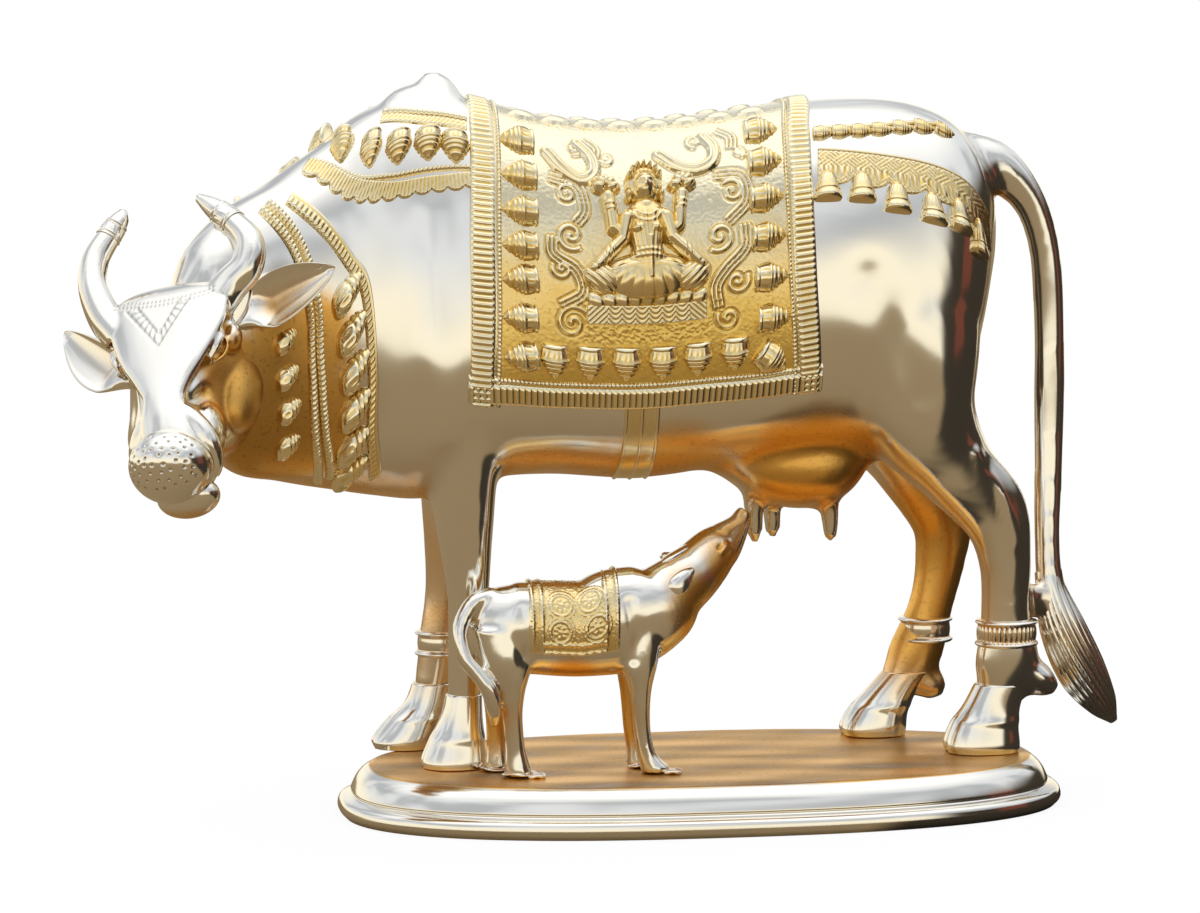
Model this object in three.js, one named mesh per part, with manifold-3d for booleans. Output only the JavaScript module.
// Cast brass cow with a suckling calf on an oval moulded base, in millimetres.
// X runs from the cow's head (minus) to its tail (plus), Y away from the viewer of its left side, Z up.
// The origin is the middle of the base's underside. Cow, calf and base are three castings.
import * as THREE from "three";
import { LoftGeometry } from "three/addons/geometries/LoftGeometry.js";
import { mergeVertices } from "three/addons/utils/BufferGeometryUtils.js";
import Module from "manifold-3d";

const wasm = await Module();
wasm.setup();

// Driving dimensions
const BASE = { halfLength: 103, halfDepth: 49.5, height: 13.4, squareness: 2.5, sides: 38 };
const FIT_GAP = 0.3; // between castings that are soldered together
const GROUND = BASE.height + FIT_GAP;
const MID_Y = 13; // the cow stands behind the calf, off the base's centre line
const NEAR = MID_Y - 16; // the middles of the left legs
const FAR = MID_Y + 16; // the middles of the right legs
const CALF_Y = -16;
const CALF_NEAR = CALF_Y - 5;
const CALF_FAR = CALF_Y + 5;
const UP = new THREE.Vector3(0, 0, 1);
const ACROSS = new THREE.Vector3(0, 1, 0);
const LEFT_SIDE = 1;
const RIGHT_SIDE = -1;

// Basic tools

const clamp = THREE.MathUtils.clamp;
const range = (count) => [...Array(count).keys()];

// A point of a superellipse with half axes a (upwards) and b (sideways), narrowed towards its top by egg.
function superellipse(angle, a, b, squareness = 2, egg = 0) {
  const bend = (v) => Math.sign(v) * Math.abs(v) ** (2 / squareness);
  const high = bend(Math.cos(angle));
  return [a * high, b * bend(Math.sin(angle)) * (1 - egg * high)];
}

// A smooth curve through rows of equal length, read from 0 to 1
function spline(rows) {
  const curves = [];
  for (let i = 0; i < rows[0].length; i += 3) {
    const points = rows.map((row) => new THREE.Vector3(row[i], row[i + 1] ?? 0, row[i + 2] ?? 0));
    curves.push(new THREE.CatmullRomCurve3(points, false, "catmullrom", 0.5));
  }
  return (t) => curves.flatMap((curve) => curve.getPoint(t).toArray());
}

// Geometry as a manifold solid
function solid(geometry) {
  const bare = geometry.toNonIndexed();
  for (const name of Object.keys(bare.attributes)) if (name !== "position") bare.deleteAttribute(name);
  const merged = mergeVertices(bare, 1e-4);
  return new wasm.Manifold(new wasm.Mesh({
    numProp: 3,
    vertProperties: merged.attributes.position.array,
    triVerts: new Uint32Array(merged.index.array),
  }));
}

const join = (solids) => solids.reduce((all, next) => all.add(next));

function toGeometry(manifold) {
  const { vertProperties, triVerts } = manifold.getMesh();
  const geometry = new THREE.BufferGeometry();
  geometry.setAttribute("position", new THREE.BufferAttribute(new Float32Array(vertProperties), 3));
  geometry.setIndex(new THREE.BufferAttribute(new Uint32Array(triVerts), 1));
  geometry.computeVertexNormals();
  return geometry;
}

// A closed skin over sections, whose rings are first turned to run the way that faces it outwards.
function loft(sections) {
  const [a, b, c] = [0, 1 / 3, 2 / 3].map((part) => sections[0][Math.floor(part * sections[0].length)]);
  const facing = new THREE.Vector3().crossVectors(b.clone().sub(a), c.clone().sub(a));
  const onwards = sections[1].reduce((sum, point, i) => sum.add(point).sub(sections[0][i]), new THREE.Vector3());
  if (facing.dot(onwards) < 0) sections.forEach((ring) => ring.reverse());
  return solid(new LoftGeometry(sections, { capStart: true, capEnd: true }));
}

// A limb: sections along stations [x, y, z, fore, side], fore and side being half widths.
// side is the direction of the side width; the fore width is square to it and to the limb.
// A level limb keeps its sections flat, as a hoof's are.
function limb(stations, { sides = 8, steps = 10, side = ACROSS, level = false, squareness = 2 } = {}) {
  const at = spline(stations);
  const place = (t) => new THREE.Vector3(...at(clamp(t, 0, 1)).slice(0, 3));
  return loft(range(steps + 1).map((i) => {
    const t = i / steps;
    const [, , , fore, half] = at(t);
    const along = level ? UP : place(t + 0.01).sub(place(t - 0.01)).normalize();
    const foreAxis = new THREE.Vector3().crossVectors(side, along).normalize();
    const sideAxis = new THREE.Vector3().crossVectors(along, foreAxis);
    return range(sides).map((k) => {
      const [a, b] = superellipse((k / sides) * 2 * Math.PI, fore, half, squareness);
      return place(t).addScaledVector(foreAxis, a).addScaledVector(sideAxis, b);
    });
  }));
}

// The trunk: one loft from the buttocks to the back of the head. Each station has its centre line's
// x and y, the heights of its top and bottom, its half width and how much its top is narrowed.
const TRUNK = {
  buttockEnd: [86, 13, 166, 153, 5, 0],
  buttock: [84, 13, 177, 145, 13, 0],
  thurl: [78, 13, 188, 120, 22, 0.05],
  hip: [69, 13, 195, 103.8, 28, 0.1],
  loin: [54, 13, 198.6, 97.8, 31, 0.12],
  flank: [32, 13, 198.4, 97.8, 32.5, 0.12],
  barrelRear: [8, 13, 194.8, 95.3, 33, 0.1],
  barrel: [-18, 13, 192.2, 92.4, 33, 0.1],
  barrelFront: [-42, 13, 193.8, 94, 32, 0.12],
  withers: [-60, 13, 198, 92.8, 31, 0.22],
  shoulder: [-77, 13, 201, 87.8, 29.5, 0.3],
  neckBase: [-93, 11, 196.4, 89, 26, 0.2],
  neck: [-107, 7, 186, 91.5, 22, 0.12],
  throat: [-120, 1, 177.3, 94.5, 18.5, 0.05],
  nape: [-132, -6, 170.5, 98, 15.5, 0],
  napeFront: [-142, -12, 161, 110, 12, 0],
  napeEnd: [-147, -15, 151, 122, 6, 0],
};
const TRUNK_SQUARENESS = 2.3;
const trunkAt = spline(Object.values(TRUNK));

// A point on the trunk: t from buttocks (0) to nape (1), angle from the spine (0) down the left flank
// (a quarter turn) to the belly (half a turn), lifted outwards.
function onTrunk(t, angle, lift = 0) {
  const [x, y, top, bottom, half, egg] = trunkAt(t);
  const ahead = trunkAt(Math.min(t + 0.005, 1));
  const behind = trunkAt(Math.max(t - 0.005, 0));
  const along = new THREE.Vector3(ahead[0] - behind[0], ahead[1] - behind[1], 0).normalize();
  const left = new THREE.Vector3().crossVectors(UP, along);
  const [a, b] = superellipse(angle, (top - bottom) / 2 + lift, half + lift, TRUNK_SQUARENESS, egg);
  return new THREE.Vector3(x, y, (top + bottom) / 2 + a).addScaledVector(left, b);
}

function trunk({ sides = 20, steps = 26 } = {}) {
  return loft(range(steps + 1).map((i) => range(sides).map((k) => onTrunk(i / steps, (k / sides) * 2 * Math.PI))));
}

// The same surface by x and by the length down the side from the spine, which the ornament is laid out in
function trunkTime(x) {
  let [low, high] = [0, 1];
  for (const step of range(24)) {
    const middle = (low + high) / 2;
    if (trunkAt(middle)[0] > x) low = middle;
    else high = middle;
  }
  return (low + high) / 2;
}

function onHide(x, down, side, lift = 0) {
  const t = trunkTime(x);
  const parts = 60;
  let length = 0;
  let last = onTrunk(t, 0);
  for (let i = 1; i <= parts; i++) {
    const next = onTrunk(t, (i / parts) * Math.PI);
    const step = next.distanceTo(last);
    if (length + step >= down) return onTrunk(t, side * ((i - 1 + (down - length) / step) / parts) * Math.PI, lift);
    length += step;
    last = next;
  }
  return onTrunk(t, side * Math.PI, lift);
}

// A raised lump on the hide, halfX by halfDown, like the bells, tassels and the seated figure's parts
function lump(x, down, side, halfX, halfDown, height, sides = 5) {
  const ring = (size, lift) => range(sides).map((k) => {
    const angle = ((k + 0.5) / sides) * 2 * Math.PI;
    return onHide(x + size * halfX * Math.cos(angle), down + size * halfDown * Math.sin(angle), side, lift);
  });
  return loft([ring(1.05, -0.8), ring(0.58, height)]);
}

// A raised band on the hide along points [x, down]
function band(points, side, width, height, steps) {
  const path = new THREE.SplineCurve(points.map(([x, down]) => new THREE.Vector2(x, down)));
  return loft(range(steps + 1).map((i) => {
    const { x, y } = path.getPoint(i / steps);
    const along = path.getTangent(clamp(i / steps, 0.001, 0.999));
    const at = (part, lift) => onHide(x - along.y * width * part, y + along.x * width * part, side, lift);
    return [at(-0.5, -1), at(0, height), at(0.5, -1)];
  }));
}

// Saddle cloth: a thin shell over the back with a thicker border, to the same drop on both sides
const CLOTH = { front: -67, rear: 29.6, drop: 94, border: 6.6, hem: 6.2, lift: 0.9, borderLift: 1.7 };

function saddleCloth() {
  const { front, rear, drop, border, hem, lift, borderLift } = CLOTH;
  const inside = range(6).map((i) => front + border + 0.5 + ((rear - front - 2 * border - 1) * i) / 5);
  const stations = [
    ...[front, front + border].map((x) => [x, borderLift]),
    ...inside.map((x) => [x, lift]),
    ...[rear - border, rear].map((x) => [x, borderLift]),
  ];
  const field = range(8).map((i) => [(i * (drop - hem - 0.5)) / 7, false]);
  const rows = [...field, [drop - hem, true], [drop, true]];
  const across = [
    ...rows.slice(1).reverse().map(([down, edge]) => [down, edge, RIGHT_SIDE]),
    ...rows.map(([down, edge]) => [down, edge, LEFT_SIDE]),
  ];
  return loft(stations.map(([x, high]) => [
    ...across.map(([down, edge, side]) => onHide(x, down, side, edge ? borderLift : high)),
    ...range(9).map((i) => 1 - i / 4).map((part) => onHide(x, Math.abs(part) * drop, Math.sign(part), -1.6)),
  ]));
}

const BELL = { long: 4.4, wide: 3.7, height: 3.4, pitch: 10.1 };

function clothBells(side) {
  const { long, wide, height, pitch } = BELL;
  const lying = (x, down) => lump(x, down, side, long, wide, height);
  const hanging = (x, down) => lump(x, down, side, wide, long, height);
  return join([
    ...range(7).map((i) => lying(-52.6, 19.6 + i * pitch)),
    ...range(7).map((i) => lying(14.6, 18.4 + i * pitch * 1.05)),
    ...range(6).map((i) => hanging(-44.4 + i * 9.9, 79.6)),
  ]);
}

// The seated figure in the middle of the cloth: head, raised hands, body, folded legs and lotus seat
function seatedFigure(side) {
  const middle = -19;
  return join([
    lump(middle, 31.4, side, 4, 5.4, 4.6, 6),
    lump(middle, 43.5, side, 5.6, 8, 4.4, 6),
    lump(middle - 9.4, 34.5, side, 2.4, 4.4, 3.4),
    lump(middle + 11, 34.5, side, 2.4, 4.4, 3.4),
    lump(middle - 0.6, 55.6, side, 16, 6.4, 4.6, 8),
    lump(middle - 0.8, 65.5, side, 14.6, 4.2, 3.4, 8),
  ]);
}

// Garlands of bells over hump, rump and neck
const along = (points, count) => {
  const path = new THREE.SplineCurve(points.map(([x, down]) => new THREE.Vector2(x, down)));
  return range(count).map((i) => path.getPointAt(count > 1 ? i / (count - 1) : 0));
};

function bellRow(points, count, side, halfX, halfDown) {
  return join(along(points, count).map(({ x, y }) => lump(x, y, side, halfX, halfDown, 2.9)));
}

const HUMP_BELLS = [[-103, 8], [-96, 17], [-88, 21.5], [-78.7, 24.5], [-69.6, 25.5]];
const HUMP_FRINGE = [[-112, 5], [-104, 21], [-92.3, 31], [-79, 34.5], [-67, 33]];
const RUMP_CORD = [[31, 27.5], [51.6, 29], [68, 29], [79, 27]];
const RUMP_BELLS = [[33, 36.9], [42.5, 37.6], [52.4, 40], [62.7, 41], [71, 38.6], [78.4, 38]];
const NECK_FRONT = [[-127, 8], [-121.6, 25], [-119, 42], [-118.6, 58], [-116, 78], [-110.5, 98]];
const NECK_REAR = [[-119.5, 12], [-112.6, 26], [-107, 38], [-102.6, 50], [-100.8, 74], [-100, 91], [-97, 108]];
const NECK_BELLS = [[-107.3, 57], [-106, 69], [-106, 80], [-105.6, 91], [-104, 102]];

const cords = (side) => join([
  band(HUMP_FRINGE, side, 3, 1, 6),
  band(RUMP_CORD, side, 2.4, 1.1, 5),
  band(NECK_FRONT, side, 2.8, 1.4, 8),
  band(NECK_REAR, side, 3, 1.2, 9),
]);

// The right side is the plainer one: its bells are left to the fine relief.
const leftBells = () => join([
  clothBells(LEFT_SIDE),
  bellRow(HUMP_BELLS, 5, LEFT_SIDE, 3.4, 3.8),
  bellRow(RUMP_BELLS, 6, LEFT_SIDE, 3.5, 4),
  bellRow(NECK_BELLS, 5, LEFT_SIDE, 4, 3.8),
]);

// Legs, from inside the trunk down to the hoof
const hoof = (stations) => limb(stations, { sides: 9, steps: 4, level: true, squareness: 2.3 });

const anklet = (x, y, z, fore, half) => limb([
  [x, y, z + 3.4, fore - 1.6, half - 1.6],
  [x, y, z + 1.8, fore, half],
  [x, y, z - 1.8, fore, half],
  [x, y, z - 3.4, fore - 1.6, half - 1.6],
], { sides: 9, steps: 3 });

const nearForeLeg = () => join([
  limb([
    [-66, NEAR + 2, 148, 21, 12],
    [-67, NEAR, 122, 16.5, 13.5],
    [-68, NEAR, 99, 10.4, 11],
    [-67.6, NEAR, 81, 8, 8.6],
    [-66.8, NEAR, 63, 5.9, 6.2],
    [-67.4, NEAR, 47, 5, 5.2],
    [-68, NEAR, 31, 4.6, 4.8],
  ], { sides: 9, steps: 8 }),
  hoof([
    [-68, NEAR, 34, 5, 5],
    [-68.8, NEAR, 27, 6, 6],
    [-70.2, NEAR, 20, 8.2, 7.2],
    [-71, NEAR, 15.6, 9.2, 8],
    [-71, NEAR, GROUND, 9, 8],
  ]),
]);

const farForeLeg = () => join([
  limb([
    [-66, FAR - 2, 141, 18, 12],
    [-68, FAR, 111, 11, 11],
    [-68.6, FAR, 85, 7.5, 8.5],
    [-69, FAR, 61, 5.9, 6],
    [-71, FAR, 45, 5.7, 5.5],
    [-73.4, FAR, 30, 4.8, 5],
  ], { sides: 9, steps: 7 }),
  anklet(-70.8, FAR, 43.6, 7, 6.8),
  hoof([
    [-73.2, FAR, 32, 5.6, 5.4],
    [-75, FAR, 26, 6.4, 6.2],
    [-78.6, FAR, 20.6, 8.6, 7.2],
    [-81, FAR, 16, 9.6, 7.8],
    [-81.2, FAR, GROUND, 9, 7.6],
  ]),
]);

// The pair of dew claws behind a fetlock, as one blunt spur
const dewclaw = (x, y, z, reach) => limb([
  [x - 5, y, z + 6, 6.5, 5],
  [x + reach * 0.5, y, z + 0.6, 4.6, 4.6],
  [x + reach, y, z - 1.4, 1.8, 2.4],
], { sides: 8, steps: 3 });

const nearHindLeg = () => join([
  limb([
    [58, NEAR + 2, 160, 19, 13],
    [57.6, NEAR + 1, 136, 24, 17],
    [61.4, NEAR, 113, 19, 16],
    [71.4, NEAR, 96, 11.8, 11],
    [83.2, NEAR, 82.6, 10, 7.5],
    [87, NEAR, 69, 7.6, 6],
    [87.4, NEAR, 53, 7, 5.8],
    [88, NEAR, 38, 9.2, 6.4],
    [85, NEAR, 27, 5.6, 5],
  ], { sides: 9, steps: 10 }),
  hoof([
    [86.4, NEAR, 33, 7.6, 6],
    [83.6, NEAR, 26.6, 8.2, 6.6],
    [81.4, NEAR, 21, 10, 7.6],
    [80.8, NEAR, 16, 11, 8.4],
    [81, NEAR, GROUND, 10.6, 8.2],
  ]),
  dewclaw(94, NEAR, 32.6, 8.4),
  anklet(87.8, NEAR, 47.6, 8.8, 7.6),
]);

const farHindLeg = () => join([
  limb([
    [57, FAR - 2, 160, 19, 13],
    [56, FAR - 1, 136, 23, 16],
    [59.4, FAR, 111, 18, 15],
    [67.6, FAR, 93, 12, 11],
    [75.8, FAR, 77, 9.2, 7.5],
    [76, FAR, 65, 7.4, 6],
    [73.2, FAR, 51, 6.4, 5.8],
    [68.6, FAR, 37, 7.8, 6],
    [63.2, FAR, 27, 5.4, 5],
  ], { sides: 9, steps: 10 }),
  hoof([
    [66.4, FAR, 32, 7, 6],
    [61.4, FAR, 26, 7.6, 6.4],
    [57.6, FAR, 20.6, 9, 7.2],
    [56.2, FAR, 16, 9.8, 7.8],
    [56.4, FAR, GROUND, 9.4, 7.6],
  ]),
  dewclaw(70.6, FAR, 27, 6.4),
  anklet(71.6, FAR, 44.2, 7.8, 7.2),
]);

const hump = () => limb([
  [-76, MID_Y, 187, 19, 14],
  [-75, MID_Y, 197, 13.6, 10],
  [-74.2, MID_Y, 203, 6.6, 5],
  [-74.6, MID_Y, 206.6, 1.8, 1.6],
], { sides: 10, steps: 4 });

const udder = () => limb([
  [0, MID_Y, 98.8, 3, 8],
  [10, MID_Y, 97.8, 6.8, 14],
  [22, MID_Y, 96, 12, 18],
  [36, MID_Y, 96, 12.6, 18],
  [47, MID_Y, 100.6, 7.4, 13],
  [56, MID_Y, 103, 4, 8],
], { sides: 12, steps: 7 });

const teat = (x, y, top, tip) => limb([
  [x, y, top + 6, 4.2, 4.2],
  [x + 0.5, y, top, 3, 3],
  [x + 0.9, y, tip + 3, 2.2, 2.2],
  [x + 1, y, tip, 0.9, 0.9],
], { sides: 6, steps: 3 });

const tail = () => limb([
  [76, 13, 181, 9, 8],
  [87, 13, 179, 7.4, 6.2],
  [96, 12.8, 171, 5, 4.8],
  [101, 12.4, 158.6, 4.3, 4.3],
  [103, 12, 140, 4.3, 4.2],
  [103.2, 11, 113, 4.3, 4.2],
  [102.6, 9, 90, 4, 4],
  [101.8, 6, 72, 3.6, 3.7],
  [102.4, 4, 60, 4, 4],
  [105.8, 3, 47.5, 6.6, 5.8],
  [111.6, 3, 35, 7, 5.8],
  [117.6, 3, 25.6, 4.6, 4],
  [121.4, 3, 20, 1.3, 1.3],
], { sides: 8, steps: 16 });

// Solder that ties the tail to the leg
const tailTie = () => limb([
  [90, -1, 58, 5, 2.6],
  [96, 1, 56, 5, 2.6],
  [103, 3, 55, 5, 2.6],
], { sides: 7, steps: 2 });

// The head turns to the left and hangs forwards. toMuzzle points down the face, toEar to the left ear
// and outOfFace away from the forehead.
const HEAD = {
  poll: new THREE.Vector3(-150.8, -20, 148.2),
  toMuzzle: new THREE.Vector3(-0.13, -0.66, -0.74).normalize(),
  toEar: new THREE.Vector3(0.905, -0.35, 0.243),
};
HEAD.outOfFace = new THREE.Vector3().crossVectors(HEAD.toMuzzle, HEAD.toEar).normalize();
HEAD.toEar = new THREE.Vector3().crossVectors(HEAD.outOfFace, HEAD.toMuzzle);

const inHead = (down, ear, out) => HEAD.poll.clone()
  .addScaledVector(HEAD.toMuzzle, down)
  .addScaledVector(HEAD.toEar, ear)
  .addScaledVector(HEAD.outOfFace, out);

// Stations in the head's own frame [down, ear, out, fore, side] as stations of a limb
const headStations = (rows) => rows.map(([down, ear, out, ...sizes]) => [...inHead(down, ear, out).toArray(), ...sizes]);

const skull = () => limb(headStations([
  [-7.5, 0, -15, 6, 8],
  [-4.5, 0, -14.5, 11.5, 14],
  [2, 0, -14.5, 14.8, 16.8],
  [11, 0, -16.5, 17.8, 17.6],
  [21, 0, -19.5, 20, 16.6],
  [31, 0.4, -19, 20, 13.8],
  [39, 1.4, -15, 15.6, 11.4],
  [47, 2.2, -12.4, 11.6, 11.2],
  [54, 2.2, -12.4, 9.6, 10.4],
  [58.5, 2.2, -13, 4.5, 5.4],
]), { sides: 12, steps: 10, side: HEAD.toEar, squareness: 2.15 });

const chin = () => limb(headStations([
  [38, 1.6, -23, 6, 7],
  [47, 2.6, -22, 7.8, 8.4],
  [54, 2.8, -21, 7.2, 8],
  [58.6, 2.8, -20.6, 3, 4],
]), { sides: 10, steps: 4, side: HEAD.toEar });

const leftHorn = () => limb(headStations([
  [3, 12, -6, 5, 5],
  [-3, 16.5, -5, 4.6, 4.6],
  [-7.5, 21.6, -3.6, 4.2, 4.2],
  [-14, 22.6, -1.6, 4, 4],
  [-20.4, 18.2, -0.4, 3.8, 3.8],
  [-26.4, 12.2, 0.8, 3.2, 3.2],
  [-30.4, 7.6, 2, 1.4, 1.4],
]), { sides: 8, steps: 10, side: HEAD.toMuzzle });

const rightHorn = () => limb(headStations([
  [5, -13, -5, 5, 5],
  [-1, -18.6, -4, 4.5, 4.5],
  [-8.4, -23, -2, 4, 4],
  [-16.6, -22.8, -0.6, 3.8, 3.8],
  [-23.6, -19.4, 0, 3.4, 3.4],
  [-29, -16.2, 0.4, 2.8, 2.8],
  [-32, -15, 0.6, 1.3, 1.3],
]), { sides: 8, steps: 10, side: HEAD.toMuzzle });

// An ear: a leaf from root along reach, its hollow turned to face
function ear(root, tip, halfWidth, face) {
  const reach = tip.clone().sub(root);
  const side = new THREE.Vector3().crossVectors(reach, face).normalize();
  return loft(range(6).map((i) => {
    const t = i / 5;
    const half = 0.9 + halfWidth * Math.sin(Math.PI * (0.16 + 0.84 * t) ** 0.9);
    const point = (across, out) => root.clone().addScaledVector(reach, t).addScaledVector(side, across * half).addScaledVector(face, out);
    return [point(-1, 1.4), point(0, -1.2), point(1, 1.4), point(0.9, 0.4), point(0, -2.9), point(-0.9, 0.4)];
  }));
}

const leftEar = () => ear(inHead(-3.5, 16, -23), inHead(-15, 40, -27), 6, HEAD.outOfFace);
const rightEar = () => ear(inHead(21, -12, -7), inHead(3.4, -30, -3), 5.8, HEAD.outOfFace);

function cow() {
  return join([
    trunk(), hump(), skull(), chin(), leftHorn(), rightHorn(), leftEar(), rightEar(),
    nearForeLeg(), farForeLeg(), nearHindLeg(), farHindLeg(), tail(), tailTie(), udder(),
    teat(15.8, 8, 86, 73.6), teat(23.4, 20, 85, 73.2), teat(37.8, 8, 86, 73.4), teat(40.4, 20, 87, 77),
    saddleCloth(), seatedFigure(LEFT_SIDE), leftBells(), cords(LEFT_SIDE), cords(RIGHT_SIDE),
  ]);
}

// The calf
function calf() {
  const body = limb([
    [-67.4, CALF_Y, 58.2, 3, 2.6],
    [-64.6, CALF_Y, 57.2, 9, 6],
    [-57.6, CALF_Y, 54.8, 12.4, 8.6],
    [-47.6, CALF_Y, 54, 13, 9.4],
    [-37.6, CALF_Y, 53.4, 13.2, 9.6],
    [-28.6, CALF_Y, 55.2, 14.8, 9.2],
    [-20.6, CALF_Y, 57.4, 14, 8.4],
    [-14.6, CALF_Y + 0.4, 60, 12, 7.4],
    [-9.7, CALF_Y + 2, 64, 9.4, 6.4],
    [-4.2, CALF_Y + 5, 67.8, 8.4, 5.8],
    [1.5, CALF_Y + 9, 72.4, 7.4, 5.2],
    [5.8, CALF_Y + 12.5, 75.4, 6, 4.4],
    [10.2, CALF_Y + 16, 79.4, 3.6, 3.2],
    [12.6, CALF_Y + 18, 83.2, 2.2, 2],
  ], { sides: 9, steps: 22 });
  const leg = (stations) => limb(stations, { sides: 7, steps: 7, level: true });
  return join([
    body,
    leg([
      [-60, CALF_NEAR + 1.4, 55, 8, 5],
      [-58.4, CALF_NEAR, 45, 7, 4.6],
      [-57.2, CALF_NEAR, 37, 3.9, 3.4],
      [-56.8, CALF_NEAR, 30, 2.8, 2.7],
      [-56, CALF_NEAR, 21, 2.8, 2.7],
      [-55.2, CALF_NEAR, GROUND + 1.5, 3.7, 3.4],
      [-55.2, CALF_NEAR, GROUND, 3.5, 3.2],
    ]),
    leg([
      [-59.6, CALF_FAR - 2, 55, 7, 4],
      [-60, CALF_FAR - 1, 45, 6, 4],
      [-60.4, CALF_FAR, 36, 3.6, 3],
      [-60.4, CALF_FAR, 29, 2.6, 2.5],
      [-60, CALF_FAR, 21, 2.7, 2.5],
      [-59.8, CALF_FAR, GROUND + 1.5, 3.2, 2.9],
      [-59.8, CALF_FAR, GROUND, 3, 2.9],
    ]),
    leg([
      [-20.6, CALF_NEAR + 1.4, 57, 7, 4.4],
      [-21.2, CALF_NEAR, 45, 5.2, 4],
      [-21, CALF_NEAR, 36, 3, 3.1],
      [-20.6, CALF_NEAR, 26, 2.4, 2.5],
      [-19.2, CALF_NEAR, 19, 2.7, 2.7],
      [-17, CALF_NEAR, GROUND + 1.5, 4, 3.3],
      [-16.8, CALF_NEAR, GROUND, 4, 3.3],
    ]),
    leg([
      [-22.4, CALF_FAR - 1.4, 55, 6, 4],
      [-22.6, CALF_FAR, 45, 4.2, 3.8],
      [-22.2, CALF_FAR, 35, 2.9, 3],
      [-21.8, CALF_FAR, 25, 2.4, 2.5],
      [-20.8, CALF_FAR, 19, 2.6, 2.6],
      [-20, CALF_FAR, GROUND + 1.5, 3.4, 3],
      [-20, CALF_FAR, GROUND, 3.4, 3],
    ]),
    limb([
      [-61.4, CALF_Y - 1, 63.4, 2.8, 2.6],
      [-67.2, CALF_Y - 3, 62, 2.4, 2.4],
      [-71.2, CALF_Y - 5, 55.4, 2.2, 2.2],
      [-70.4, CALF_Y - 7, 47.8, 2.1, 2.2],
      [-67, CALF_Y - 8, 43, 2.1, 2.2],
      [-63.6, CALF_Y - 8.5, 38.2, 2.4, 2.4],
      [-62.2, CALF_Y - 8, 32.2, 2, 2],
      [-62, CALF_Y - 7, 28, 0.8, 0.8],
    ], { sides: 6, steps: 11 }),
    ear(new THREE.Vector3(-3.6, CALF_Y + 2, 65), new THREE.Vector3(-13, CALF_Y - 1.4, 70), 2.3, ACROSS.clone().negate()),
    ear(new THREE.Vector3(-3.6, CALF_Y + 11, 67), new THREE.Vector3(-12, CALF_Y + 14, 72), 2.3, ACROSS),
  ]);
}

// The base: the moulding's profile [inset, height] carried round a superellipse plan. The inset is
// larger at the two ends than along the sides.
const MOULDING = [
  [1.2, 0], [0.2, 1.4], [0, 2.8], [0.6, 4.6], [2.9, 5.8], [2.9, 7], [4, 10], [5.4, 12], [7.2, BASE.height],
];
const END_INSET = 1.3;

function base() {
  return loft(MOULDING.map(([inset, z]) => range(BASE.sides).map((k) => {
    const angle = (k / BASE.sides) * 2 * Math.PI;
    const [x, y] = superellipse(angle, BASE.halfLength - inset * END_INSET, BASE.halfDepth - inset, BASE.squareness);
    return new THREE.Vector3(x, y, z);
  })));
}

// Assembly
const polishedBrass = new THREE.MeshStandardMaterial({ color: 0xd8c48c, roughness: 0.22, metalness: 1 });
const rawBrass = new THREE.MeshStandardMaterial({ color: 0xc79a45, roughness: 0.38, metalness: 1 });

const group = new THREE.Group();
for (const [name, made, material] of [
  ["cow", cow(), polishedBrass],
  ["calf", calf(), polishedBrass],
  ["oval_base", base(), rawBrass],
]) {
  const mesh = new THREE.Mesh(toGeometry(made), material);
  mesh.name = name;
  group.add(mesh);
}

export default group;
